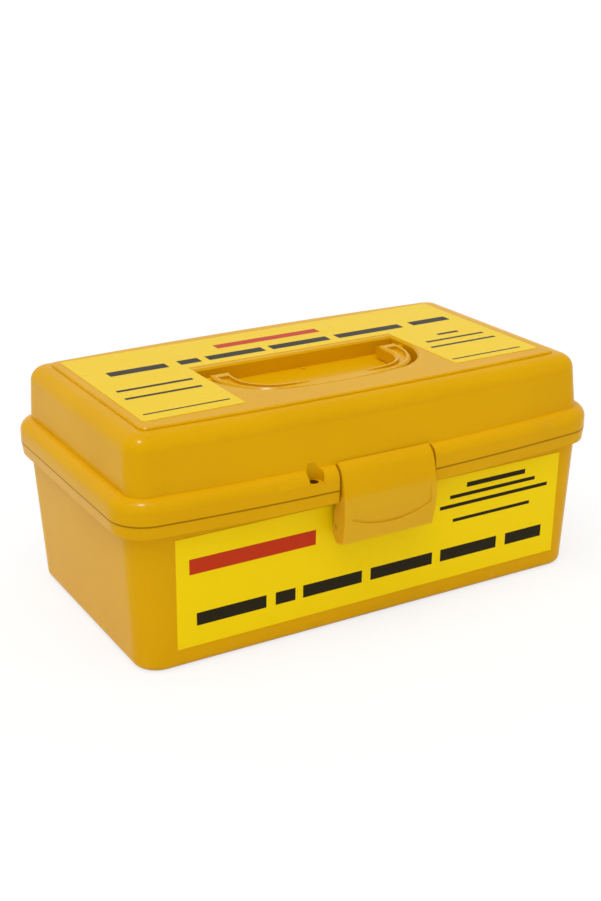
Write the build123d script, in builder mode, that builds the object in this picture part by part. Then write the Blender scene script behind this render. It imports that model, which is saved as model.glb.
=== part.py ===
from build123d import *
from math import atan2, cos, degrees, sin, sqrt
import os

# Specimen transport box: a drafted tub and a hollow lid in moulded plastic, joined by pin
# hinges at the back and held shut by one wide swing latch at the front. A bail handle lies
# in a recess of the lid. Inside, a two-level rack on an absorbent pad holds screw-cap cups
# and vials. Millimetres; origin at the centre of the foot, +X right, +Y back, +Z up.

os.makedirs("parts", exist_ok=True)

# Walls
wall = 2.4
flange_wall = 2.6
flange_step = 2.2
flange_step_rise = 4.2
floor_thickness = 3.0

# Heights, from the ground up
parting_height = 92.9
parting_gap = 0.2
lip_depth = 7.7
flange_rise = 14.0
lid_wall_rise = 22.8
shoulder_rise = 9.8
panel_step = 1.5

# Plan of the flange, which is the widest outline: its long sides bow outwards
flange_half_length = 160.0
flange_half_width = 88.4
front_bow = 9.0
back_bow = 4.0
flange_corner = 22.0
flange_round = 7.4

# Tub, a plain rounded rectangle that widens upwards
lip_reach_side = 6.3
lip_reach_front = 2.7
tub_draft = 4.0
tub_corner = 15.6
foot_round = 4.5

# Rolled lip of the tub
lip_draft = 1.0
lip_plate = 2.4
skirt = 2.2
rib_thickness = 1.6
rib_pitch = 63.0
rib_count = 5
tongue_height = 4.6
tongue_thickness = 1.8
tongue_clearance = 0.6

# Lid walls: how far each outline stands inside the one below
crease_inset_side = 8.1
crease_inset_front = 5.9
crease_bow = 8.5
crease_corner = 12.5
shoulder_inset_side = 1.0
shoulder_inset_front = 2.0
shoulder_corner = 12.0
shoulder_round = 9.6
groove_inset_side = 10.3
groove_inset_front = 9.0
panel_bow = 4.0
panel_corner = 5.0
panel_margin = 1.8
panel_bevel = 0.8

# Front latch: its face is one arc seen from the side, its foot swings on a steel pin
latch_half_width = 31.0
latch_side_gap = 1.5
latch_wall = 2.2
latch_face_radius = 62.0
latch_belly = 10.4
latch_belly_height = 81.0
latch_foot_height = 59.6
latch_crown_drop = 4.9
latch_pivot_height = 67.9
latch_pivot_stand_off = 5.6
latch_crown_rise = 5.9
latch_tip_gap = 0.6
heel_drop = 9.6
heel_back = 3.4
heel_round_drop = 6.2
heel_round_back = 2.4
heel_taper = 11.1
latch_bevel = 1.0
hook_clearance = 0.3
catch_half_width = 26.0
catch_reach = 3.2
catch_height = 5.5
catch_top_drop = 2.4
lug_centre = 22.0
lug_thickness = 6.0
lug_radius = 3.4
scoop_half_width = 27.0
scoop_depth = 1.0
scoop_mid_depth = 0.6
scoop_top = 89.5
scoop_low = 68.6
scoop_rise = 6.4

# Seal hole in the flange, left of the latch
seal_hole_x = -46.6
seal_hole_radius = 3.0
seal_hole_setback = 1.8
seal_pocket_radius = 5.1
seal_pocket_depth = 7.4
seal_pocket_height = 10.4
seal_boss_wall = 2.0

# Pins and running clearances
pin_radius = 1.5
press_clearance = 0.03
running_clearance = 0.08

# Rear hinge
hinge_station = 85.0
knuckle_radius = 4.6
knuckle_clearance = 0.4
base_knuckle_length = 9.0
lid_knuckle_length = 12.8
knuckle_side_gap = 0.4
gusset_drop = 18.0

# Recess for the handle in the lid panel
recess_half_length = 69.5
recess_back = 9.5
recess_front = 52.0
recess_depth = 10.0
recess_arc_rise = 9.5
recess_corner = 42.0
recess_bevel = 1.2

# Bail handle
handle_side_gap = 4.5
handle_band = 12.0
handle_front_gap = 1.5
handle_front_band = 11.0
handle_arc_rise = 14.8
handle_corner = 38.0
handle_inner_arc_rise = 8.5
handle_inner_corner = 22.0
handle_thickness = 8.4
handle_floor_gap = 0.5
handle_bevel = 1.2
pivot_y = -2.5
trunnion_radius = 3.0
trunnion_reach = 4.0
trunnion_end_gap = 0.6
cut_overshoot = 1.0
channel_wall = 2.6
channel_depth = 2.0
channel_start = 16.0
underside_wall = 2.2
underside_depth = 4.0
underside_ribs = 9

# Labels, each a thin sheet
label_thickness = 0.25
front_label_left = 129.0
front_label_right = 134.0
front_label_low = 12.0
front_label_high = 80.0
lid_label_half_length = 133.5
lid_label_front = 60.0
lid_label_back = 65.5
lid_label_void_half = 71.2
lid_label_void_back = 15.0

# Absorbent pad and rack
pad_thickness = 3.0
pad_inset = 5.0
rack_inset = 9.0
rack_corner = 9.0
tray_thickness = 3.0
deck_thickness = 3.0
deck_height = 47.0
post_width = 8.0
post_inset = 8.0
post_peg_width = 5.0
fit_clearance = 0.3

# Screw-cap cups
cup_count = 3
cup_pitch = 84.0
cup_row = 35.0
cup_radius = 30.0
cup_sides = 32
cup_wall = 1.4
cup_height = 70.0
cup_cap_radius = 33.5
cup_cap_height = 14.5
cup_cap_flats = 24

# Screw-cap vials with a spoon under the cap
vial_count = 3
vial_pitch = 84.0
vial_row = -42.0
vial_radius = 17.5
vial_sides = 24
vial_wall = 1.3
vial_height = 70.0
vial_cap_radius = 20.6
vial_cap_height = 13.5
vial_cap_flats = 18
spoon_length = 46.0
spoon_width = 3.0
spoon_thickness = 1.6
spoon_bowl = 5.5
cap_top = 1.8
cap_chamfer = 0.8

# Heights worked out
base_top = parting_height - parting_gap / 2
lid_bottom = parting_height + parting_gap / 2
lip_bottom = parting_height - lip_depth
crease_height = parting_height + flange_rise
shoulder_height = crease_height + lid_wall_rise
groove_height = shoulder_height + shoulder_rise
lid_height = groove_height + panel_step

# Half sizes worked out
tub_half_length = flange_half_length - lip_reach_side
tub_half_width = flange_half_width - lip_reach_front
foot_half_length = tub_half_length - tub_draft
foot_half_width = tub_half_width - tub_draft
crease_half_length = flange_half_length - crease_inset_side
crease_half_width = flange_half_width - crease_inset_front
shoulder_half_length = crease_half_length - shoulder_inset_side
shoulder_half_width = crease_half_width - shoulder_inset_front
groove_half_length = shoulder_half_length - groove_inset_side
groove_half_width = shoulder_half_width - groove_inset_front
panel_half_length = groove_half_length - panel_margin
panel_half_width = groove_half_width - panel_margin

# Outlines of the lid, each: height, half length, half width, front bow, back bow, corner
crease = (crease_height, crease_half_length, crease_half_width, crease_bow, back_bow, crease_corner)
root = (lid_bottom,) + crease[1:]
shoulder = (
    shoulder_height,
    shoulder_half_length,
    shoulder_half_width,
    panel_bow,
    panel_bow,
    shoulder_corner,
)
roof = (
    groove_height - wall,
    groove_half_length,
    groove_half_width,
    panel_bow,
    panel_bow,
    panel_corner + panel_margin,
)


def bowed_outline(half_length, half_width, front, back, corner):
    """A rectangle with round corners whose front and back sides bow outwards."""
    with BuildSketch() as outline:
        with BuildLine():
            ThreePointArc(
                (-half_length, -half_width),
                (0, -half_width - front),
                (half_length, -half_width),
            )
            Line((half_length, -half_width), (half_length, half_width))
            ThreePointArc(
                (half_length, half_width),
                (0, half_width + back),
                (-half_length, half_width),
            )
            Line((-half_length, half_width), (-half_length, -half_width))
        make_face()
        fillet(outline.vertices(), corner)
    return outline.sketch


def bowed_block(lower, upper, inset=0.0):
    """The solid between two bowed outlines, both drawn in by the inset."""
    with BuildPart() as block:
        for height, half_length, half_width, front, back, corner in (lower, upper):
            with BuildSketch(Plane.XY.offset(height)):
                add(
                    bowed_outline(
                        half_length - inset, half_width - inset, front, back, corner - inset
                    )
                )
        loft(ruled=True)
    return block.part


def flange_outline(inset):
    """The flange's plan, drawn in by the inset."""
    return bowed_outline(
        flange_half_length - inset,
        flange_half_width - inset,
        front_bow,
        back_bow,
        flange_corner - inset,
    )


def bay_outline(half_length, back, front, arc_rise, corner):
    """A D-shaped plan: straight back and sides, one wide arc and two big corners in front."""
    with BuildSketch() as bay:
        with BuildLine():
            ThreePointArc((-half_length, arc_rise - front), (0, -front), (half_length, arc_rise - front))
            Line((half_length, arc_rise - front), (half_length, back))
            Line((half_length, back), (-half_length, back))
            Line((-half_length, back), (-half_length, arc_rise - front))
        make_face()
        fillet(bay.vertices().group_by(Axis.Y)[0], corner)
    return bay.sketch


def flange_front(x):
    """The y of the flange's front face at a given x, above its corner rounding."""
    return -(flange_half_width + front_bow * (1 - (x / flange_half_length) ** 2))


# Lines that several pieces share
notch_half_width = latch_half_width + latch_side_gap
notch_back = -(crease_half_width + crease_bow)
tub_lean = atan2(tub_draft, base_top)
pivot_wall_y = -foot_half_width - tub_draft * latch_pivot_height / base_top
latch_pivot_y = pivot_wall_y - latch_pivot_stand_off
latch_face_centre = notch_back - latch_belly + latch_face_radius
latch_crown_height = crease_height - latch_crown_drop
catch_top = crease_height - catch_top_drop
hook_underside = catch_top + hook_clearance
seal_hole_y = flange_front(seal_hole_x) + seal_hole_setback + seal_hole_radius
seal_pocket_y = seal_hole_y + seal_hole_radius - seal_pocket_radius
seal_pocket_floor = crease_height - seal_pocket_depth
hinge_y = flange_half_width + back_bow + knuckle_clearance + knuckle_radius
base_knuckle_shift = (lid_knuckle_length + base_knuckle_length) / 2 + knuckle_side_gap
hinge_pin_length = lid_knuckle_length + 2 * (knuckle_side_gap + base_knuckle_length)
recess_floor = lid_height - recess_depth
handle_half_length = recess_half_length - handle_side_gap
handle_front = recess_front - handle_front_gap
handle_bottom = recess_floor + handle_floor_gap
handle_top = handle_bottom + handle_thickness
pivot_height = (handle_bottom + handle_top) / 2
trunnion_end = recess_half_length + trunnion_reach
boss_end = trunnion_end + trunnion_end_gap + wall


def tub_block(bottom, inset):
    """The drafted tub from a height up to its brim, drawn in by the inset."""
    draft_below = tub_draft * bottom / base_top
    with BuildPart() as block:
        with BuildSketch(Plane.XY.offset(bottom)):
            Rectangle(
                2 * (foot_half_length + draft_below - inset),
                2 * (foot_half_width + draft_below - inset),
            )
        extrude(amount=base_top - bottom)
        draft(
            block.faces().filter_by(Axis.Z, reverse=True),
            neutral_plane=Plane.XY.offset(bottom),
            angle=-degrees(tub_lean),
        )
        fillet(block.edges().group_by(Axis.Z)[1], tub_corner - inset)
    return block.part


def latch_face(height, inset):
    """The y of the latch's face at a height, or of the concentric arc inside it."""
    radius = latch_face_radius - inset
    return latch_face_centre - sqrt(radius**2 - (height - latch_belly_height) ** 2)


# Base shell ---------------------------------------------------------------------------
# The space under the rolled lip, less what stands in it: ribs, the seal hole's boss and
# the stiff bar behind the latch.
with BuildPart() as lip_hollow:
    with BuildSketch(Plane.XY.offset(lip_bottom)):
        add(flange_outline(lip_draft + skirt))
    extrude(amount=lip_depth - lip_plate)
    add(tub_block(0, 0), mode=Mode.SUBTRACT)
    lip_mid = (lip_bottom + base_top) / 2
    with Locations((0, 0, lip_mid)):
        with GridLocations(rib_pitch, 0, rib_count, 1):
            Box(rib_thickness, 4 * flange_half_width, lip_depth, mode=Mode.SUBTRACT)
        Box(4 * flange_half_length, rib_thickness, lip_depth, mode=Mode.SUBTRACT)
    with Locations((0, notch_back, lip_mid)):
        Box(2 * (notch_half_width + wall), 6 * wall, lip_depth, mode=Mode.SUBTRACT)
    with Locations((seal_hole_x, seal_hole_y, lip_mid)):
        Cylinder(seal_hole_radius + seal_boss_wall, lip_depth, mode=Mode.SUBTRACT)

# One base knuckle with the gusset that carries it down to the tub's back wall.
with BuildPart() as base_knuckle:
    with BuildSketch(Plane.YZ):
        with BuildLine():
            Polyline(
                (tub_half_width - wall / 2, base_top),
                (hinge_y, base_top),
                (hinge_y + knuckle_radius * cos(tub_lean), parting_height - knuckle_radius / 4),
                (hinge_y, parting_height - knuckle_radius),
                (tub_half_width - wall / 2, base_top - gusset_drop),
                close=True,
            )
        make_face()
        with Locations((hinge_y, parting_height)):
            Circle(knuckle_radius)
    extrude(amount=base_knuckle_length / 2, both=True)

# One lug that holds the latch pin off the front wall.
with BuildPart() as latch_lug:
    with BuildSketch(Plane.YZ):
        with BuildLine():
            Polyline(
                (pivot_wall_y + wall / 2, latch_pivot_height - 2 * lug_radius),
                (latch_pivot_y, latch_pivot_height - lug_radius),
                (latch_pivot_y, latch_pivot_height + lug_radius),
                (pivot_wall_y + wall / 2, latch_pivot_height + 2 * lug_radius),
                close=True,
            )
        make_face()
        with Locations((latch_pivot_y, latch_pivot_height)):
            Circle(lug_radius)
    extrude(amount=lug_thickness / 2, both=True)

with BuildPart() as base_shell:
    add(tub_block(0, 0))
    fillet(base_shell.edges().group_by(Axis.Z)[0], foot_round)

    # Rolled lip with a drafted skirt
    with BuildSketch(Plane.XY.offset(lip_bottom)):
        add(flange_outline(lip_draft))
    with BuildSketch(Plane.XY.offset(base_top)):
        add(flange_outline(0))
    loft(ruled=True)
    add(lip_hollow.part, mode=Mode.SUBTRACT)

    # Tongue that stands up inside the lid's flange, open behind the latch and the seal hole
    with BuildSketch(Plane.XY.offset(base_top)):
        add(flange_outline(flange_wall + tongue_clearance))
        add(flange_outline(flange_wall + tongue_clearance + tongue_thickness), mode=Mode.SUBTRACT)
        with Locations((seal_hole_x / 2, -flange_half_width)):
            Rectangle(
                2 * notch_half_width - seal_hole_x + 6 * wall, 4 * front_bow, mode=Mode.SUBTRACT
            )
    extrude(amount=tongue_height)

    # Notch for the latch
    with Locations((0, notch_back - front_bow, base_top)):
        Box(2 * notch_half_width, 2 * front_bow, 4 * lip_depth, mode=Mode.SUBTRACT)

    # Lugs and knuckles
    with Locations((-lug_centre, 0, 0), (lug_centre, 0, 0)):
        add(latch_lug.part)
    for station in (-hinge_station, hinge_station):
        with Locations((station - base_knuckle_shift, 0, 0), (station + base_knuckle_shift, 0, 0)):
            add(base_knuckle.part)

    # Room inside
    add(tub_block(floor_thickness, wall), mode=Mode.SUBTRACT)

    # Bores
    with Locations((0, latch_pivot_y, latch_pivot_height)):
        Cylinder(
            pin_radius + press_clearance,
            2 * latch_half_width,
            rotation=(0, 90, 0),
            mode=Mode.SUBTRACT,
        )
    with Locations((0, hinge_y, parting_height)):
        Cylinder(
            pin_radius + press_clearance,
            2 * flange_half_length,
            rotation=(0, 90, 0),
            mode=Mode.SUBTRACT,
        )
    with Locations((seal_hole_x, seal_hole_y, base_top)):
        Cylinder(seal_hole_radius, 4 * lip_depth, mode=Mode.SUBTRACT)
base_shell.part.label = "base_shell"
export_step(base_shell.part, "parts/base_shell.step")

# Pins ---------------------------------------------------------------------------------
with BuildPart() as latch_pin:
    with Locations((0, latch_pivot_y, latch_pivot_height)):
        Cylinder(pin_radius, 2 * latch_half_width, rotation=(0, 90, 0))
latch_pin.part.label = "latch_pin"
export_step(latch_pin.part, "parts/latch_pin.step")

for side, station in (("left", -hinge_station), ("right", hinge_station)):
    with BuildPart() as hinge_pin:
        with Locations((station, hinge_y, parting_height)):
            Cylinder(pin_radius, hinge_pin_length, rotation=(0, 90, 0))
    hinge_pin.part.label = f"hinge_pin_{side}"
    export_step(hinge_pin.part, f"parts/hinge_pin_{side}.step")

# Lid shell ----------------------------------------------------------------------------
# The hollow under the lid, less what stands in it: the latch notch's back wall, the seal
# hole's boss, the handle recess and the two bosses that take the handle's trunnions.
with BuildPart() as lid_hollow:
    with BuildSketch(Plane.XY.offset(lid_bottom)):
        add(flange_outline(flange_wall))
    extrude(amount=crease_height - flange_round - lid_bottom)
    with BuildSketch(Plane.XY.offset(lid_bottom)):
        add(flange_outline(flange_wall + flange_step))
    extrude(amount=crease_height - flange_round + flange_step_rise - lid_bottom)
    add(bowed_block(root, crease, wall))
    add(bowed_block(crease, shoulder, wall))
    add(bowed_block(shoulder, roof, wall))
    with Locations((0, notch_back + wall - 2 * front_bow, lid_bottom)):
        Box(
            2 * (notch_half_width + wall),
            4 * front_bow,
            2 * flange_rise,
            mode=Mode.SUBTRACT,
        )
    with Locations((seal_hole_x, seal_pocket_y, lid_bottom)):
        Cylinder(seal_pocket_radius + seal_boss_wall, 3 * flange_rise, mode=Mode.SUBTRACT)
    with BuildSketch(Plane.XY.offset(recess_floor - wall)):
        add(
            bay_outline(
                recess_half_length + wall,
                recess_back + wall,
                recess_front + wall,
                recess_arc_rise,
                recess_corner + wall,
            )
        )
    extrude(amount=recess_depth, mode=Mode.SUBTRACT)
    with Locations((0, pivot_y, pivot_height)):
        Cylinder(
            trunnion_radius + running_clearance + wall,
            2 * boss_end,
            rotation=(0, 90, 0),
            mode=Mode.SUBTRACT,
        )

# One lid knuckle with the arm that joins it to the flange.
with BuildPart() as lid_knuckle:
    with BuildSketch(Plane.YZ):
        with BuildLine():
            Polyline(
                (flange_half_width, lid_bottom),
                (hinge_y, lid_bottom),
                (hinge_y, parting_height + knuckle_radius),
                (flange_half_width, crease_height - flange_round),
                close=True,
            )
        make_face()
        with Locations((hinge_y, parting_height)):
            Circle(knuckle_radius)
    extrude(amount=lid_knuckle_length / 2, both=True)

with BuildPart() as lid_shell:
    with BuildSketch(Plane.XY.offset(lid_bottom)):
        add(flange_outline(0))
    extrude(amount=crease_height - lid_bottom)
    fillet(lid_shell.faces().sort_by(Axis.Z)[-1].edges(), flange_round)
    add(bowed_block(root, crease))
    add(bowed_block(crease, shoulder))
    with BuildSketch(Plane.XY.offset(shoulder_height)):
        add(bowed_outline(*shoulder[1:]))
    extrude(amount=shoulder_rise)
    fillet(lid_shell.faces().sort_by(Axis.Z)[-1].edges(), shoulder_round)

    # Raised panel and the handle recess in it
    with BuildSketch(Plane.XY.offset(groove_height)):
        add(bowed_outline(panel_half_length, panel_half_width, panel_bow, panel_bow, panel_corner))
    extrude(amount=panel_step)
    chamfer(lid_shell.faces().sort_by(Axis.Z)[-1].edges(), panel_bevel)
    with BuildSketch(Plane.XY.offset(recess_floor)):
        add(
            bay_outline(
                recess_half_length, recess_back, recess_front, recess_arc_rise, recess_corner
            )
        )
    extrude(amount=recess_depth, mode=Mode.SUBTRACT)
    chamfer(lid_shell.faces().sort_by(Axis.Z)[-1].inner_wires()[0].edges(), recess_bevel)
    add(lid_hollow.part, mode=Mode.SUBTRACT)

    # Notch for the latch with the catch ridge on its back wall
    with Locations((0, notch_back - front_bow, crease_height)):
        Box(2 * notch_half_width, 2 * front_bow, 4 * flange_rise, mode=Mode.SUBTRACT)
    with BuildSketch(Plane.YZ):
        with BuildLine():
            Polyline(
                (notch_back + wall / 2, catch_top),
                (notch_back - catch_reach / 2, catch_top),
                (notch_back - catch_reach, catch_top - catch_height / 4),
                (notch_back, catch_top - catch_height),
                (notch_back + wall / 2, catch_top - catch_height),
                close=True,
            )
        make_face()
    extrude(amount=catch_half_width, both=True)

    # Seal pocket in the shoulder of the flange and the hole in its floor
    with Locations((seal_hole_x, seal_pocket_y, seal_pocket_floor)):
        Cylinder(
            seal_pocket_radius,
            seal_pocket_height,
            align=(Align.CENTER, Align.CENTER, Align.MIN),
            mode=Mode.SUBTRACT,
        )
    with Locations((seal_hole_x, seal_hole_y, lid_bottom)):
        Cylinder(seal_hole_radius, flange_rise, mode=Mode.SUBTRACT)

    # Bearings: the handle's trunnions and the hinge
    with Locations((0, pivot_y, pivot_height)):
        Cylinder(
            trunnion_radius + running_clearance,
            2 * (trunnion_end + trunnion_end_gap),
            rotation=(0, 90, 0),
            mode=Mode.SUBTRACT,
        )
    with Locations((-hinge_station, 0, 0), (hinge_station, 0, 0)):
        add(lid_knuckle.part)
    with Locations((0, hinge_y, parting_height)):
        Cylinder(
            pin_radius + running_clearance,
            2 * flange_half_length,
            rotation=(0, 90, 0),
            mode=Mode.SUBTRACT,
        )
lid_shell.part.label = "lid_shell"
export_step(lid_shell.part, "parts/lid_shell.step")

# Carry handle -------------------------------------------------------------------------
# Plan of the bail's bow between its two rims, used for the channel on top and the hollow
# underneath, each with its own inset.


def bow_outline(inset):
    """The bail's plan in front of its pivot, drawn in from both edges by the inset."""
    with BuildSketch() as bow:
        add(
            bay_outline(
                handle_half_length - inset,
                pivot_y,
                handle_front - inset,
                handle_arc_rise,
                handle_corner - inset,
            )
        )
        add(
            bay_outline(
                handle_half_length - handle_band + inset,
                pivot_y + cut_overshoot,
                handle_front - handle_front_band + inset,
                handle_inner_arc_rise,
                handle_inner_corner + inset,
            ),
            mode=Mode.SUBTRACT,
        )
    return bow.sketch


with BuildPart() as channel:
    with BuildSketch(Plane.XY.offset(handle_top - channel_depth)):
        add(bow_outline(channel_wall))
    extrude(amount=2 * channel_depth)
    with BuildSketch(Plane.XZ):
        with BuildLine():
            Polyline(
                (-channel_start, handle_top),
                (channel_start, handle_top),
                (3 * channel_start, handle_top - channel_depth),
                (-3 * channel_start, handle_top - channel_depth),
                close=True,
            )
        make_face()
    extrude(amount=2 * flange_half_width, both=True, mode=Mode.SUBTRACT)
    with Locations((0, pivot_y, handle_top)):
        Box(3 * handle_half_length, 3 * trunnion_radius, 4 * channel_depth, mode=Mode.SUBTRACT)

with BuildPart() as underside:
    with BuildSketch(Plane.XY.offset(handle_bottom)):
        add(bow_outline(underside_wall))
    extrude(amount=underside_depth)
    with Locations((0, pivot_y, handle_bottom)):
        Box(3 * handle_half_length, 4 * trunnion_radius, 3 * underside_depth, mode=Mode.SUBTRACT)
        with GridLocations(handle_band, 0, underside_ribs, 1):
            Box(rib_thickness, 4 * flange_half_width, 3 * underside_depth, mode=Mode.SUBTRACT)

with BuildPart() as carry_handle:
    with BuildSketch(Plane.XY.offset(handle_bottom)):
        add(bow_outline(0))
    extrude(amount=handle_thickness)
    chamfer(carry_handle.faces().sort_by(Axis.Z)[-1].edges(), handle_bevel)
    for side in (-1, 1):
        with Locations((side * (handle_half_length - handle_band / 2), pivot_y, pivot_height)):
            Cylinder(handle_thickness / 2, handle_band, rotation=(0, 90, 0))
        with Locations((side * (handle_half_length + trunnion_end) / 2, pivot_y, pivot_height)):
            Cylinder(trunnion_radius, trunnion_end - handle_half_length, rotation=(0, 90, 0))
    add(channel.part, mode=Mode.SUBTRACT)
    add(underside.part, mode=Mode.SUBTRACT)
carry_handle.part.label = "carry_handle"
export_step(carry_handle.part, "parts/carry_handle.step")

# Front latch --------------------------------------------------------------------------
# A thin curved plate with a hook along its top edge and a flank at each side; the flanks
# carry the pin and their heels stop the latch against the front wall.
with BuildPart() as scoop:
    with BuildSketch(Plane.YZ):
        with BuildLine():
            scoop_mid = (scoop_low + scoop_top) / 2
            dish = ThreePointArc(
                (latch_face(scoop_top, 0), scoop_top),
                (latch_face(scoop_mid, 0) + scoop_mid_depth, scoop_mid),
                (latch_face(scoop_low, 0) + scoop_depth, scoop_low),
            )
            Polyline(
                dish @ 1,
                (latch_face_centre - 1.2 * latch_face_radius, scoop_low),
                (latch_face_centre - 1.2 * latch_face_radius, scoop_top),
                dish @ 0,
            )
        make_face()
    extrude(amount=scoop_half_width, both=True)
    with BuildSketch(Plane.XZ):
        with BuildLine():
            smile = ThreePointArc(
                (-scoop_half_width, scoop_low + scoop_rise),
                (0, scoop_low),
                (scoop_half_width, scoop_low + scoop_rise),
            )
            Polyline(
                smile @ 1,
                (scoop_half_width, scoop_low - scoop_rise),
                (-scoop_half_width, scoop_low - scoop_rise),
                smile @ 0,
            )
        make_face()
    extrude(amount=2 * flange_half_width, both=True, mode=Mode.SUBTRACT)

with BuildPart() as front_latch:
    with BuildSketch(Plane.YZ):
        with BuildLine():
            face = ThreePointArc(
                (latch_face(latch_foot_height, 0), latch_foot_height),
                (latch_face(latch_belly_height, 0), latch_belly_height),
                (latch_face(latch_crown_height, 0), latch_crown_height),
            )
            crown = TangentArc(
                face @ 1,
                (notch_back - latch_tip_gap, latch_crown_height + latch_crown_rise),
                tangent=face % 1,
            )
            heel = ThreePointArc(
                (latch_pivot_y - heel_back / 4, latch_pivot_height - heel_drop),
                (latch_pivot_y + heel_round_back, latch_pivot_height - heel_round_drop),
                (latch_pivot_y + heel_back, latch_pivot_height - heel_back / 2),
            )
            Polyline(
                crown @ 1,
                (notch_back - latch_tip_gap, lip_bottom - latch_tip_gap),
                (latch_pivot_y + heel_back / 2, latch_pivot_height + heel_taper),
                heel @ 1,
            )
            Line(heel @ 0, face @ 0)
        make_face()
    extrude(amount=latch_half_width, both=True)
    chamfer(
        front_latch.edges()
        .filter_by(GeomType.CIRCLE)
        .filter_by(Plane.YZ)
        .filter_by(lambda edge: edge.center().Y < notch_back - latch_wall),
        latch_bevel,
    )
    add(scoop.part, mode=Mode.SUBTRACT)
    with BuildSketch(Plane.YZ):
        with BuildLine():
            lining = ThreePointArc(
                (latch_face(latch_foot_height - heel_drop, latch_wall), latch_foot_height - heel_drop),
                (latch_face(latch_belly_height, latch_wall), latch_belly_height),
                (latch_face(hook_underside, latch_wall), hook_underside),
            )
            Polyline(
                lining @ 1,
                (-foot_half_width, hook_underside),
                (-foot_half_width, latch_foot_height - heel_drop),
                lining @ 0,
            )
        make_face()
    extrude(amount=latch_half_width - latch_wall, both=True, mode=Mode.SUBTRACT)
    with Locations((0, latch_pivot_y, latch_pivot_height)):
        Cylinder(
            pin_radius + running_clearance,
            3 * latch_half_width,
            rotation=(0, 90, 0),
            mode=Mode.SUBTRACT,
        )
front_latch.part.label = "front_latch"
export_step(front_latch.part, "parts/front_latch.step")

# Labels -------------------------------------------------------------------------------
front_wall = Plane(
    origin=(0, -foot_half_width, 0),
    x_dir=(1, 0, 0),
    z_dir=(0, -cos(tub_lean), -sin(tub_lean)),
)
with BuildPart() as front_label:
    with BuildSketch(front_wall):
        with Locations((-front_label_left, front_label_low)):
            Rectangle(
                front_label_left + front_label_right,
                front_label_high - front_label_low,
                align=(Align.MIN, Align.MIN),
            )
        with Locations((0, front_label_high)):
            Rectangle(
                2 * (lug_centre + lug_thickness),
                2 * (front_label_high - latch_pivot_height + 3 * lug_radius),
                mode=Mode.SUBTRACT,
            )
    extrude(amount=label_thickness)
front_label.part.label = "front_label"
export_step(front_label.part, "parts/front_label.step")

with BuildPart() as lid_label:
    with BuildSketch(Plane.XY.offset(lid_height)):
        with Locations((0, (lid_label_back - lid_label_front) / 2)):
            Rectangle(2 * lid_label_half_length, lid_label_back + lid_label_front)
        with Locations((0, lid_label_void_back)):
            Rectangle(
                2 * lid_label_void_half,
                2 * (lid_label_void_back + lid_label_front),
                align=(Align.CENTER, Align.MAX),
                mode=Mode.SUBTRACT,
            )
    extrude(amount=label_thickness)
lid_label.part.label = "lid_label"
export_step(lid_label.part, "parts/lid_label.step")

# Absorbent pad and rack ---------------------------------------------------------------
# The rack stands on the pad: a tray with four posts, and a deck that their pegs carry. The
# deck's square holes keep the containers upright.
tray_bottom = floor_thickness + pad_thickness
tray_top = tray_bottom + tray_thickness
rack_half_length = foot_half_length - wall - rack_inset
rack_half_width = foot_half_width - wall - rack_inset
post_spread_x = 2 * (rack_half_length - post_inset)
post_spread_y = 2 * (rack_half_width - post_inset)
cup_hole = 2 * (cup_radius + fit_clearance)
vial_hole = 2 * (vial_radius + fit_clearance)
peg_hole = post_peg_width + 2 * press_clearance

with BuildPart() as absorbent_pad:
    with BuildSketch(Plane.XY.offset(floor_thickness)):
        RectangleRounded(
            2 * (foot_half_length - wall - pad_inset),
            2 * (foot_half_width - wall - pad_inset),
            tub_corner - pad_inset,
        )
    extrude(amount=pad_thickness)
absorbent_pad.part.label = "absorbent_pad"
export_step(absorbent_pad.part, "parts/absorbent_pad.step")

with BuildPart() as rack_tray:
    with BuildSketch(Plane.XY.offset(tray_bottom)):
        RectangleRounded(2 * rack_half_length, 2 * rack_half_width, rack_corner)
    extrude(amount=tray_thickness)
    with GridLocations(post_spread_x, post_spread_y, 2, 2):
        with Locations((0, 0, tray_top)):
            Box(
                post_width,
                post_width,
                deck_height - tray_top,
                align=(Align.CENTER, Align.CENTER, Align.MIN),
            )
            Box(
                post_peg_width,
                post_peg_width,
                deck_height + deck_thickness - tray_top,
                align=(Align.CENTER, Align.CENTER, Align.MIN),
            )
rack_tray.part.label = "rack_tray"
export_step(rack_tray.part, "parts/rack_tray.step")

with BuildPart() as rack_deck:
    with BuildSketch(Plane.XY.offset(deck_height)):
        RectangleRounded(2 * rack_half_length, 2 * rack_half_width, rack_corner)
        with Locations((0, cup_row)):
            with GridLocations(cup_pitch, 0, cup_count, 1):
                Rectangle(cup_hole, cup_hole, mode=Mode.SUBTRACT)
        with Locations((0, vial_row)):
            with GridLocations(vial_pitch, 0, vial_count, 1):
                Rectangle(vial_hole, vial_hole, mode=Mode.SUBTRACT)
        with GridLocations(post_spread_x, post_spread_y, 2, 2):
            Rectangle(peg_hole, peg_hole, mode=Mode.SUBTRACT)
    extrude(amount=deck_thickness)
rack_deck.part.label = "rack_deck"
export_step(rack_deck.part, "parts/rack_deck.step")

# Containers ---------------------------------------------------------------------------


def container(radius, sides, thickness, height):
    """An open container with many flat sides, standing on the rack's tray."""
    with BuildPart() as vessel:
        with BuildSketch(Plane.XY.offset(tray_top)):
            RegularPolygon(radius, sides)
        extrude(amount=height)
        with BuildSketch(Plane.XY.offset(tray_top + thickness)):
            RegularPolygon(radius - thickness, sides)
        extrude(amount=height, mode=Mode.SUBTRACT)
    return vessel.part


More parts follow.
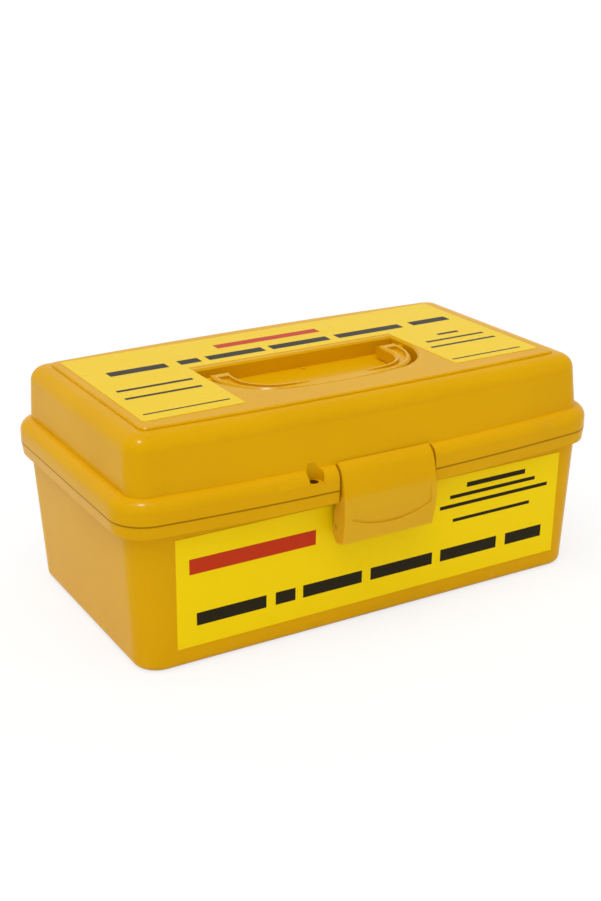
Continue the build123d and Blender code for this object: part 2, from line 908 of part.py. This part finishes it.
def screw_cap(radius, flats, height, bore, seat):
    """A cap with flats outside and in, whose top plate rests on a rim at the seat's height."""
    with BuildPart() as cap:
        with BuildSketch(Plane.XY.offset(seat + cap_top - height)):
            RegularPolygon(radius, flats)
        extrude(amount=height)
        chamfer(cap.faces().sort_by(Axis.Z)[-1].edges(), cap_chamfer)
        with BuildSketch(Plane.XY.offset(seat + cap_top - height)):
            RegularPolygon(bore, flats, major_radius=False)
        extrude(amount=height - cap_top, mode=Mode.SUBTRACT)
    return cap.part


def in_row(count, pitch):
    """The x of each container in a centred row."""
    return [pitch * (i - (count - 1) / 2) for i in range(count)]


cup = container(cup_radius, cup_sides, cup_wall, cup_height)
cup_cap = screw_cap(
    cup_cap_radius, cup_cap_flats, cup_cap_height, cup_radius + fit_clearance, tray_top + cup_height
)
for number, x in enumerate(in_row(cup_count, cup_pitch), 1):
    with BuildPart() as urine_cup:
        with Locations((x, cup_row)):
            add(cup)
    urine_cup.part.label = f"urine_cup_{number}"
    export_step(urine_cup.part, f"parts/urine_cup_{number}.step")
    with BuildPart() as urine_cap:
        with Locations((x, cup_row)):
            add(cup_cap)
    urine_cap.part.label = f"urine_cap_{number}"
    export_step(urine_cap.part, f"parts/urine_cap_{number}.step")

vial = container(vial_radius, vial_sides, vial_wall, vial_height)
vial_seat = tray_top + vial_height
with BuildPart() as spoon_cap:
    add(
        screw_cap(
            vial_cap_radius, vial_cap_flats, vial_cap_height, vial_radius + fit_clearance, vial_seat
        )
    )
    with Locations((0, 0, vial_seat - spoon_length / 2)):
        Box(spoon_width, spoon_thickness, spoon_length + cap_top)
    with Locations((0, 0, vial_seat - spoon_length)):
        Cylinder(spoon_bowl, spoon_thickness, rotation=(90, 0, 0))
for number, x in enumerate(in_row(vial_count, vial_pitch), 1):
    with BuildPart() as stool_vial:
        with Locations((x, vial_row)):
            add(vial)
    stool_vial.part.label = f"stool_vial_{number}"
    export_step(stool_vial.part, f"parts/stool_vial_{number}.step")
    with BuildPart() as stool_cap:
        with Locations((x, vial_row)):
            add(spoon_cap.part)
    stool_cap.part.label = f"stool_cap_{number}"
    export_step(stool_cap.part, f"parts/stool_cap_{number}.step")
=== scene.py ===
import math

import bmesh
import bpy
from mathutils import Matrix, Vector


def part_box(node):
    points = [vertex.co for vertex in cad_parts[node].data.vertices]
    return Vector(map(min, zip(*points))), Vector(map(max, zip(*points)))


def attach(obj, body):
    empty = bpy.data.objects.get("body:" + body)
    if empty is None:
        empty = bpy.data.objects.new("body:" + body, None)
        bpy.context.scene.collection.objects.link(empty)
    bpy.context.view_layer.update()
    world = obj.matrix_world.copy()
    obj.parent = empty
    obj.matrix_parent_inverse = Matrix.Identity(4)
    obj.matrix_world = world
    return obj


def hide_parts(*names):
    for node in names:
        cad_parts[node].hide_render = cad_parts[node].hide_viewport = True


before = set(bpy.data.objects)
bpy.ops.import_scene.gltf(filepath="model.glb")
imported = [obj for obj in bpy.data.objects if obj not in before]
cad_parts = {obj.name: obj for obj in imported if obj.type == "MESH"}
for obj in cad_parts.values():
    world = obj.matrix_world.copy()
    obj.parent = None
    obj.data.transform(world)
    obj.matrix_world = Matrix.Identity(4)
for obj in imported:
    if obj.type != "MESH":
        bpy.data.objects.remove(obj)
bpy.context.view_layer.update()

# Camera ------------------------------------------------------------------------------
# The box is seen from its front left corner and from above, as a product is photographed
# on a table.
image_width, image_height = 601, 901
focal_pixels = 1425.96
sensor = 36.0
yaw = math.radians(29.35)
pitch = math.radians(20.703)
roll = math.radians(-0.567)
camera_place = (-0.4135, -0.7300, 0.3964)

camera_data = bpy.data.cameras.new("photo_camera")
camera_data.sensor_width = sensor
camera_data.lens = focal_pixels * sensor / max(image_width, image_height)
camera = bpy.data.objects.new("photo_camera", camera_data)
bpy.context.scene.collection.objects.link(camera)
right = Vector((math.cos(yaw), -math.sin(yaw), 0))
forward = Vector(
    (math.sin(yaw) * math.cos(pitch), math.cos(yaw) * math.cos(pitch), -math.sin(pitch))
)
up = right.cross(forward)
turned_right = right * math.cos(roll) + up * math.sin(roll)
turned_up = up * math.cos(roll) - right * math.sin(roll)
pose = Matrix((turned_right, turned_up, -forward)).transposed().to_4x4()
pose.translation = camera_place
camera.matrix_world = pose
bpy.context.scene.camera = camera
bpy.context.scene.view_settings.view_transform = "Standard"


# Moulded shells ----------------------------------------------------------------------
# Tub, lid and handle are injection moulded in one amber-yellow polypropylene. It comes off
# a polished tool: satin, with a faint orange peel, flow marks and a few dull rubbed spots.
class Wire:
    """A value that runs through a finish's nodes."""

    def __init__(self, tree, socket=None):
        self.tree = tree
        self.socket = socket

    def node(self, kind, settings=None, inputs=None, output=0):
        made = self.tree.nodes.new("ShaderNode" + kind)
        for name, value in (settings or {}).items():
            setattr(made, name, value)
        for name, value in (inputs or {}).items():
            if isinstance(value, Wire):
                self.tree.links.new(value.socket, made.inputs[name])
            else:
                made.inputs[name].default_value = value
        return Wire(self.tree, made.outputs[output])

    def math(self, operation, *others):
        terms = dict(enumerate((self,) + others))
        return self.node("Math", {"operation": operation}, terms)

    def __add__(self, other):
        return self.math("ADD", other)

    def __mul__(self, other):
        return self.math("MULTIPLY", other)

    def __sub__(self, other):
        return self.math("SUBTRACT", other)

    def __rsub__(self, other):
        return self.node("Math", {"operation": "SUBTRACT"}, {0: other, 1: self})

    __radd__ = __add__
    __rmul__ = __mul__

    def axis(self, number):
        """The place's X, Y or Z."""
        return self.node("SeparateXYZ", None, {"Vector": self}, output=number)

    def step(self, low, high):
        """0 below the low value, 1 above the high one, and a soft ramp between."""
        ends = {"Value": self, "From Min": low, "From Max": high}
        return self.node("MapRange", {"interpolation_type": "SMOOTHSTEP"}, ends)

    def within(self, low, high):
        """1 between the two values and 0 elsewhere."""
        return self.math("COMPARE", (low + high) / 2, (high - low) / 2)

    def mix(self, first, second):
        """The first colour where this value is 0, the second where it is 1."""
        # The Mix node has its colours at inputs 6 and 7, and gives a colour at output 2.
        ends = {"Factor": self, 6: first, 7: second}
        return self.node("Mix", {"data_type": "RGBA"}, ends, output=2)

    def noise(self, scale, detail=2.0, roughness=0.5):
        """Fractal noise, about 0.5, at this place, at a scale in lumps per metre."""
        inputs = {"Vector": self, "Scale": scale, "Detail": detail, "Roughness": roughness}
        return self.node("TexNoise", None, inputs)

    def bump(self, distance):
        """A surface normal bent by this height, times a distance in metres."""
        return self.node("Bump", None, {"Height": self, "Distance": distance})


def new_finish(name, **constants):
    """An empty finish: its material, the place on the surface and its shader."""
    finish = bpy.data.materials.new(name)
    finish.use_nodes = True
    shader = finish.node_tree.nodes["Principled BSDF"]
    for socket, value in constants.items():
        shader.inputs[socket.replace("_", " ")].default_value = value
    place = Wire(finish.node_tree).node("TexCoord", output="Object")
    return finish, place, shader


def feed(shader, **wires):
    """Links wires to the shader's sockets."""
    for socket, wire in wires.items():
        wire.tree.links.new(wire.socket, shader.inputs[socket.replace("_", " ")])


def dress(node, finish):
    """Gives every slot of a CAD node one finish."""
    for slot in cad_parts[node].material_slots:
        slot.material = finish


shell_yellow = (0.760, 0.400, 0.001, 1)
shell_deep = (0.738, 0.382, 0.001, 1)
shell_rubbed = (0.760, 0.430, 0.020, 1)
shell_shadow = (0.200, 0.075, 0.001, 1)
shell_gloss = 0.045
shell_roughness = 0.16
flow_scale, cloud_scale, spot_scale, peel_scale = 14.0, 45.0, 160.0, 900.0
flow_edge = (0.35, 0.70)
spot_edge = (0.55, 0.80)
spot_paling = 0.15
mottle_dulling = 0.08
wear_dulling = 0.20
peel_height = 0.00003


def moulded(name, worn, shade_mask=None):
    """The shells' plastic: pale where the worn mask is 1, painted shade where the shade
    mask is.
    """
    finish, place, shader = new_finish(name, Specular_IOR_Level=shell_gloss)
    flow = place.noise(flow_scale, detail=3.0).step(*flow_edge)
    cloud = place.noise(cloud_scale, detail=4.0, roughness=0.6)
    spots = place.noise(spot_scale, detail=4.0, roughness=0.6).step(*spot_edge)
    dull = worn(place)
    colour = (dull + spots * spot_paling).mix(
        flow.mix(shell_yellow, shell_deep), shell_rubbed
    )
    # Painted shade is mixed in here, dark where the shade mask is 1.
    if shade_mask:
        colour = shade_mask(place).mix(colour, shell_shadow)
    mottle = cloud * mottle_dulling + spots * mottle_dulling
    feed(
        shader,
        Base_Color=colour,
        Roughness=mottle + dull * wear_dulling + shell_roughness,
        Normal=place.noise(peel_scale).bump(peel_height),
    )
    return finish


wall_lean = (0.4, 0.7)


def upright(place):
    """1 on walls, 0 on level faces."""
    lean = place.node("TexCoord", output="Normal").axis(2).math("ABSOLUTE")
    return 1 - lean.step(*wall_lean)


# The seam line, the seal hole and the foot are darkened with painted shade.
parting_height = 0.0929
seam_width = 0.0009
seam_dark = 0.8
flange_back = (0.0924, 0.0927)
seal_axis = (-0.0466, -0.0918)
seal_radius = 0.0032
seal_edge = 0.9
seal_floor = (0.0992, 0.0996)
foot_height = 0.0028
foot_dark = 0.75


def seam_painted_shade(place):
    """Painted shade: a dark line in the seam between the tub and the lid, and in the seal
    hole.
    """
    in_seam = 1 - (place.axis(2) - parting_height).math("ABSOLUTE").step(0.0, seam_width)
    off_knuckles = 1 - place.axis(1).step(*flange_back)
    across = (place.axis(0) - seal_axis[0]).math("POWER", 2.0)
    along = (place.axis(1) - seal_axis[1]).math("POWER", 2.0)
    in_hole = 1 - (across + along).step(seal_edge * seal_radius**2, seal_radius**2)
    low_down = 1 - place.axis(2).step(*seal_floor)
    seam = in_seam * off_knuckles * upright(place) * seam_dark
    return seam.math("MAXIMUM", in_hole * low_down)


def tub_painted_shade(place):
    """The seam's painted shade, and a painted contact shadow where the foot meets the
    table.
    """
    foot = 1 - place.axis(2).step(0.0, foot_height)
    return seam_painted_shade(place).math("MAXIMUM", foot * foot_dark)


wear_strength = 0.5
tub_wear_scale, tub_wear_edge, tub_wear_top = 90.0, (0.52, 0.72), (0.004, 0.030)
grip_wear_scale, grip_wear_edge = 70.0, (0.50, 0.70)
lid_wear_scale, lid_wear_edge, lid_wear_base = 55.0, (0.50, 0.75), (0.1395, 0.1405)


def tub_wear(place):
    """The tub's walls are scuffed a little, low down."""
    low_down = 1 - place.axis(2).step(*tub_wear_top)
    scuffs = place.noise(tub_wear_scale, detail=6.0, roughness=0.7).step(*tub_wear_edge)
    return low_down * scuffs * wear_strength


def grip_wear(place):
    """The handle's bow is rubbed by hands."""
    rubs = place.noise(grip_wear_scale, detail=4.0, roughness=0.6).step(*grip_wear_edge)
    return rubs * wear_strength


def lid_wear(place):
    """The lid's panel has faint scuffs where boxes have been stacked on it."""
    on_panel = place.axis(2).step(*lid_wear_base)
    scuffs = place.noise(lid_wear_scale, detail=6.0, roughness=0.7).step(*lid_wear_edge)
    return on_panel * scuffs * wear_strength


# Tub and lid carry painted shade in the seam and seal hole, the tub also a painted contact
# shadow at its foot.
lid_finish = moulded("lid_plastic", lid_wear, seam_painted_shade)
dress("base_shell", moulded("tub_plastic", tub_wear, tub_painted_shade))
dress("lid_shell", lid_finish)
dress("carry_handle", moulded("handle_plastic", grip_wear))

# Gate nib ----------------------------------------------------------------------------
# The small stub that the moulding tool's gate leaves on the floor of the handle recess,
# twisted off and not trimmed. It is part of the lid's plastic.
nib_x, nib_y, nib_floor = 0.0025, 0.0057, 0.1310
nib_radius = 0.0013
nib_height = 0.0009
nib_tip_inset = 0.45 * nib_radius
nib_tip_shift = (0.2 * nib_radius, 0, 0.45 * nib_height)
nib_rounding = 0.15 * nib_radius
nib_rim_height = nib_floor + 0.9 * nib_height
facing_up = 0.9
nearly_level = 0.99
soft_edge = math.radians(50)

bpy.ops.object.select_all(action="DESELECT")
bpy.ops.mesh.primitive_cylinder_add(
    vertices=20,
    radius=nib_radius,
    depth=nib_height,
    location=(nib_x, nib_y, nib_floor + nib_height / 2),
)
nib = bpy.context.object
nib.name = "gate_nib"
bpy.ops.object.transform_apply(location=True, rotation=True, scale=True)


def pick(piece, kind, test):
    """In edit mode, selects only the faces or edges that pass the test."""
    bpy.ops.mesh.select_mode(type={"faces": "FACE", "edges": "EDGE"}[kind])
    bpy.ops.mesh.select_all(action="DESELECT")
    mesh = bmesh.from_edit_mesh(piece.data)
    for element in getattr(mesh, kind):
        element.select_set(test(element))
    bmesh.update_edit_mesh(piece.data)


def at_nib_rim(edge):
    """The edges of the nib's rim and slope, but not those of its level tip."""
    near_top = edge.verts[0].co.z > nib_rim_height
    return near_top and all(abs(face.normal.z) < nearly_level for face in edge.link_faces)


bpy.ops.object.mode_set(mode="EDIT")
pick(nib, "faces", lambda face: face.normal.z > facing_up)
bpy.ops.mesh.inset(thickness=nib_tip_inset)
bpy.ops.transform.translate(value=nib_tip_shift)
pick(nib, "edges", at_nib_rim)
bpy.ops.mesh.bevel(offset=nib_rounding, segments=2)
bpy.ops.object.mode_set(mode="OBJECT")
bpy.ops.object.shade_smooth_by_angle(angle=soft_edge)
nib.data.materials.append(lid_finish)
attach(nib, "lid")

# Front latch -------------------------------------------------------------------------
# One moulding in the shells' plastic. Below its shoulder the face is dished for the thumb,
# and there it has been rubbed dull and pale. Above it, pale streaks are painted
# reflections.
dished_top = (0.0855, 0.0915)
thumb_paling = 0.75
# Pale streaks above the dish are painted reflections.
reflection_streak_scale, reflection_streak_edge, reflection_streak_paling = 60.0, (0.60, 0.75), 0.35


def thumb_wear_and_sheen(place):
    """The dished lower half of the latch, with a few painted reflection streaks above it.
    """
    streaks = place.noise(reflection_streak_scale, detail=5.0, roughness=0.7).step(*reflection_streak_edge)
    return (1 - place.axis(2).step(*dished_top)) * thumb_paling + streaks * reflection_streak_paling


dress("front_latch", moulded("latch_plastic", thumb_wear_and_sheen))

# Steel pins --------------------------------------------------------------------------
# The latch and hinge pins are lengths of drawn steel wire, pressed into the tub. Drawing
# leaves fine streaks along them.
steel_dark = (0.45, 0.45, 0.46, 1)
steel_light = (0.62, 0.62, 0.63, 1)
steel_roughness = 0.22
streak_dulling = 0.2
streak_stretch = (20.0, 2000.0, 2000.0)

pin_finish, place, shader = new_finish("drawn_steel", Metallic=1.0)
drawn = place.node("Mapping", None, {"Vector": place, "Scale": streak_stretch})
streaks = drawn.noise(1.0, detail=3.0)
feed(
    shader,
    Base_Color=streaks.mix(steel_dark, steel_light),
    Roughness=streaks * streak_dulling + steel_roughness,
)
for part in ("latch_pin", "hinge_pin_left", "hinge_pin_right"):
    dress(part, pin_finish)

# Labels ------------------------------------------------------------------------------
# Two sheets of coated yellow vinyl, stuck on the front wall and on the lid round the
# handle's recess. Each is screen printed with a red band and plain black rules.
front_yellows = ((0.970, 0.685, 0.001, 1), (0.980, 0.710, 0.001, 1))
lid_yellows = ((0.880, 0.590, 0.001, 1), (0.900, 0.620, 0.004, 1))
print_red = (0.560, 0.040, 0.008, 1)
print_black = (0.022, 0.016, 0.006, 1)
label_gloss = 0.06
label_roughness = 0.22
smear_dulling = 0.16
ink_dulling = 0.08
sheet_scale, smear_scale, ripple_scale, ink_scale = 25.0, 90.0, 60.0, 2500.0
ink_pinholes = (0.18, 0.26)
ripple_height = 0.00015
# Rules in millimetres on the label's own two axes: left, right, low, high.
front_red = [(-121, -41, 57.0, 66.5)]
front_black = [
    (-117, -73, 24.5, 32.5),
    (-67, -54, 24.5, 32.5),
    (-49, -9, 24.5, 32.5),
    (-3, 41, 24.5, 32.5),
    (47, 89, 24.5, 32.5),
    (96, 124, 24.5, 32.5),
    (64, 108, 70.8, 74.0),
    (52, 116, 65.2, 67.6),
    (45, 126, 59.2, 61.6),
    (55, 113, 49.4, 51.6),
]
lid_red = [(-38, 36, 42.0, 50.0)]
lid_black = [
    (-118, -80, 22.5, 31.0),
    (-72, -58, 22.5, 31.0),
    (-53, -14, 22.5, 31.0),
    (-9, 33, 22.5, 31.0),
    (39, 88, 22.5, 31.0),
    (96, 125, 22.5, 31.0),
    (-126, -78, -7.2, -3.8),
    (-127, -79, -21.8, -18.6),
    (-129, -76, -50.6, -48.8),
    (97, 113, -4.8, -1.6),
    (81, 125, -15.4, -12.6),
    (77, 126, -26.6, -23.8),
    (74, 125, -53.4, -51.6),
]


def printed(across, along, rules):
    """A mask that is 1 on the rules."""
    return sum(
        across.within(left / 1000, right_end / 1000) * along.within(low / 1000, high / 1000)
        for left, right_end, low, high in rules
    )


for part, height_axis, yellows, red_rules, black_rules in (
    ("front_label", 2, front_yellows, front_red, front_black),
    ("lid_label", 1, lid_yellows, lid_red, lid_black),
):
    label_finish, place, shader = new_finish(
        part + "_vinyl", Specular_IOR_Level=label_gloss
    )
    across, along = place.axis(0), place.axis(height_axis)
    red = printed(across, along, red_rules)
    black = printed(across, along, black_rules)
    sheet = place.noise(sheet_scale, detail=3.0).mix(*yellows)
    ink = place.noise(ink_scale).step(*ink_pinholes)
    smears = place.noise(smear_scale, detail=4.0)
    feed(
        shader,
        Base_Color=(black * ink).mix((red * ink).mix(sheet, print_red), print_black),
        Roughness=smears * smear_dulling + (red + black) * ink_dulling + label_roughness,
        Normal=place.noise(ripple_scale).bump(ripple_height),
    )
    dress(part, label_finish)

# Absorbent pad -----------------------------------------------------------------------
# A fluff-pulp pad between two nonwoven sheets, cut to the tub's floor. Its edge is pressed
# thin all round, in a crimped border, and the rack's tray rests on the rest of it.
pad_low, pad_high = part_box("absorbent_pad")
pad_corner = 0.0106
border_width = 0.0032
border_slope = 0.0016
border_thickness = 0.0011
border_top = pad_low[2] + border_thickness
pad_rise = pad_high[2] - border_top
# How the pad rises from its border to its middle: each band's width and share of the rise.
pad_bands = ((border_slope, 0.70), (border_slope, 0.20), (4 * border_slope, 0.06))
border_rounding = 0.4 * border_thickness
upright_edge = 0.0001
same_height = 0.00005
steep_face = 0.5

bpy.ops.object.select_all(action="DESELECT")
bpy.ops.mesh.primitive_cube_add(
    size=1,
    location=(
        (pad_low[0] + pad_high[0]) / 2,
        (pad_low[1] + pad_high[1]) / 2,
        pad_low[2] + border_thickness / 2,
    ),
    scale=(pad_high[0] - pad_low[0], pad_high[1] - pad_low[1], border_thickness),
)
pad = bpy.context.object
pad.name = "absorbent_pad_cloth"
bpy.ops.object.transform_apply(location=True, rotation=True, scale=True)


def at_pad_corner(edge):
    """The four upright edges."""
    return abs(edge.verts[0].co.z - edge.verts[1].co.z) > upright_edge


def at_border_rim(edge):
    """The outer edge of the border's upper face."""
    level = len({round(vert.co.z, 5) for vert in edge.verts}) == 1
    at_top = abs(edge.verts[0].co.z - border_top) < same_height
    outer = any(abs(face.normal.z) < steep_face for face in edge.link_faces)
    return level and at_top and outer


bpy.ops.object.mode_set(mode="EDIT")
pick(pad, "edges", at_pad_corner)
bpy.ops.mesh.bevel(offset=pad_corner, segments=8)
pick(pad, "faces", lambda face: face.normal.z > facing_up)
bpy.ops.mesh.inset(thickness=border_width)
for width, share in pad_bands:
    bpy.ops.mesh.inset(thickness=width, depth=pad_rise * share)
pick(pad, "edges", at_border_rim)
bpy.ops.mesh.bevel(offset=border_rounding, segments=2)
bpy.ops.object.mode_set(mode="OBJECT")
bpy.ops.object.shade_smooth_by_angle(angle=soft_edge)

pad_grey = (0.68, 0.68, 0.64, 1)
pad_white = (0.84, 0.84, 0.81, 1)
pad_gloss = 0.1
pad_sheen = 0.2
pad_roughness = 0.85
fibre_paling, dimple_paling = 0.6, 0.3
fibre_dulling = 0.1
fibre_relief = 0.3
fibre_scale, dimple_scale = 2600.0, 280.0
dimple_edge = (0.15, 0.45)
dimple_depth = 0.0002

pad_finish, place, shader = new_finish(
    "pad_nonwoven", Specular_IOR_Level=pad_gloss, Sheen_Weight=pad_sheen
)
fibres = place.noise(fibre_scale, detail=4.0, roughness=0.7)
dimples = place.node("TexVoronoi", None, {"Vector": place, "Scale": dimple_scale})
cells = dimples.step(*dimple_edge)
feed(
    shader,
    Base_Color=(fibres * fibre_paling + cells * dimple_paling).mix(pad_grey, pad_white),
    Roughness=fibres * fibre_dulling + pad_roughness,
    Normal=(fibres * fibre_relief + cells).bump(dimple_depth),
)
pad.data.materials.append(pad_finish)
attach(pad, "base")
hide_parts("absorbent_pad")

# Rack --------------------------------------------------------------------------------
# Tray and deck are routed from 3 mm polyethylene sheet with a fine leather grain. Four
# posts stand on the tray, and their pegs are pressed into the deck.
rack_white = (0.70, 0.72, 0.71, 1)
rack_smudged = (0.62, 0.64, 0.63, 1)
rack_gloss = 0.3
rack_roughness = 0.38
smudge_dulling, grain_dulling = 0.2, 0.1
grain_scale, smudge_scale = 1400.0, 35.0
smudge_edge = (0.35, 0.75)
grain_depth = 0.00006

rack_finish, place, shader = new_finish("rack_sheet", Specular_IOR_Level=rack_gloss)
grain = place.noise(grain_scale, detail=3.0, roughness=0.6)
smudge = place.noise(smudge_scale, detail=5.0, roughness=0.6)
feed(
    shader,
    Base_Color=smudge.step(*smudge_edge).mix(rack_white, rack_smudged),
    Roughness=smudge * smudge_dulling + grain * grain_dulling + rack_roughness,
    Normal=grain.bump(grain_depth),
)
for part in ("rack_tray", "rack_deck"):
    dress(part, rack_finish)

# Containers --------------------------------------------------------------------------
# Specimen cups and vials are moulded in milky polypropylene, with raised marks every
# centimetre at the front and back of each. Their screw caps are white and ribbed for grip.
container_pitch = 0.084
mark_spacing = 0.010
mark_half_width = 0.0045
mark_thickness = 0.0007
container_gloss = 0.4
milky_dark, milky_light = (0.72, 0.75, 0.75, 1), (0.80, 0.83, 0.83, 1)
mark_grey = (0.50, 0.54, 0.55, 1)
milky_roughness = 0.25
milky_dulling = 0.2
milky_peel_relief = 0.2
milky_scale, milky_peel_scale = 80.0, 700.0
mark_height = 0.00015
cap_light, cap_dark = (0.84, 0.84, 0.82, 1), (0.72, 0.72, 0.70, 1)
cap_roughness = 0.28
cap_dulling = 0.16
rib_shading, cap_shading = 0.25, 0.5
rib_relief, cap_peel_relief = 0.5, 0.1
cap_scale, cap_peel_scale = 60.0, 900.0
cap_rim = (0.80, 0.86)
rib_height = 0.0004


def from_axis(place, row):
    """How far a place lies from its container's axis, along X and along Y."""
    across = (place.axis(0) + 1.5 * container_pitch).math("FLOORED_MODULO", container_pitch)
    return across - container_pitch / 2, place.axis(1) - row


for vessel, cap, row, cap_radius, ribs in (
    ("urine_cup", "urine_cap", 0.035, 0.0335, 72),
    ("stool_vial", "stool_cap", -0.042, 0.0206, 54),
):
    vessel_finish, place, shader = new_finish(
        vessel + "_plastic", Specular_IOR_Level=container_gloss
    )
    across, along = from_axis(place, row)
    rise = place.axis(2).math("FLOORED_MODULO", mark_spacing)
    on_middle = across.within(-mark_half_width, mark_half_width)
    marks = on_middle * rise.within(0, mark_thickness)
    clouds = place.noise(milky_scale, detail=4.0, roughness=0.6)
    peel = place.noise(milky_peel_scale)
    feed(
        shader,
        Base_Color=marks.mix(clouds.mix(milky_dark, milky_light), mark_grey),
        Roughness=clouds * milky_dulling + milky_roughness,
        Normal=(marks + peel * milky_peel_relief).bump(mark_height),
    )

    cap_finish, place, shader = new_finish(
        cap + "_plastic", Specular_IOR_Level=container_gloss
    )
    across, along = from_axis(place, row)
    grip = (along.math("ARCTAN2", across) * ribs).math("SINE") * upright(place)
    reach = (across * across + along * along).math("POWER", 0.5)
    rim = reach.within(cap_rim[0] * cap_radius, cap_rim[1] * cap_radius)
    clouds = place.noise(cap_scale, detail=4.0, roughness=0.6)
    peel = place.noise(cap_peel_scale)
    feed(
        shader,
        Base_Color=(grip * rib_shading + clouds * cap_shading).mix(cap_light, cap_dark),
        Roughness=clouds * cap_dulling + cap_roughness,
        Normal=(grip * rib_relief + rim + peel * cap_peel_relief).bump(rib_height),
    )
    for number in (1, 2, 3):
        dress(f"{vessel}_{number}", vessel_finish)
        dress(f"{cap}_{number}", cap_finish)

# Table and light ---------------------------------------------------------------------
# A white table that runs into a white background, with plain light from all round. Over it
# hang a large soft lamp and a small one, which only puts a glint on the corners.
table_size = 40.0
table_white = (0.96, 0.96, 0.96, 1)
table_roughness = 0.7
table_lift = 0.70
glow_strength = 1.04
round_light = (0.60, 0.60, 0.60, 1)
backdrop_white = (1, 1, 1, 1)
lamp_from = Vector((-0.25, -0.18, 1.0))
# Each lamp's strength, its width in degrees, and whether it does more than glint.
lamps = {"soft_lamp": (1.31, 50.0, True), "small_lamp": (4.8, 9.0, False)}

bpy.ops.object.select_all(action="DESELECT")
bpy.ops.mesh.primitive_plane_add(size=table_size, location=(0, 0, 0))
table = bpy.context.object
table.name = "studio_table"
white = bpy.data.materials.new("studio_white")
white.use_nodes = True
tree = white.node_tree
surface = tree.nodes["Principled BSDF"]
surface.inputs["Base Color"].default_value = table_white
surface.inputs["Roughness"].default_value = table_roughness
surface.inputs["Specular IOR Level"].default_value = 0.0
start = Wire(tree)


def seen_rays(start):
    """1 for what the camera sees, directly, in a reflection or through glass."""
    rays = [
        start.node("LightPath", output=f"Is {kind} Ray")
        for kind in ("Camera", "Glossy", "Transmission")
    ]
    return (rays[0] + rays[1] + rays[2]).math("MINIMUM", 1.0)


glow = start.node("Emission", None, {"Color": backdrop_white, "Strength": glow_strength})
blend = tree.nodes.new("ShaderNodeMixShader")
tree.links.new((seen_rays(start) * table_lift).socket, blend.inputs["Fac"])
tree.links.new(surface.outputs["BSDF"], blend.inputs[1])
tree.links.new(glow.socket, blend.inputs[2])
tree.links.new(blend.outputs["Shader"], tree.nodes["Material Output"].inputs["Surface"])
table.data.materials.append(white)

world = bpy.data.worlds.new("studio")
bpy.context.scene.world = world
world.use_nodes = True
seen = seen_rays(Wire(world.node_tree)).mix(round_light, backdrop_white)
background = world.node_tree.nodes["Background"]
world.node_tree.links.new(seen.socket, background.inputs["Color"])

for name, (strength, width, lights_up) in lamps.items():
    lamp = bpy.data.lights.new(name, "SUN")
    lamp.energy = strength
    lamp.angle = math.radians(width)
    held = bpy.data.objects.new(name, lamp)
    held.rotation_mode = "QUATERNION"
    held.rotation_quaternion = (-lamp_from).to_track_quat("-Z", "Y")
    held.visible_diffuse = lights_up
    bpy.context.scene.collection.objects.link(held)
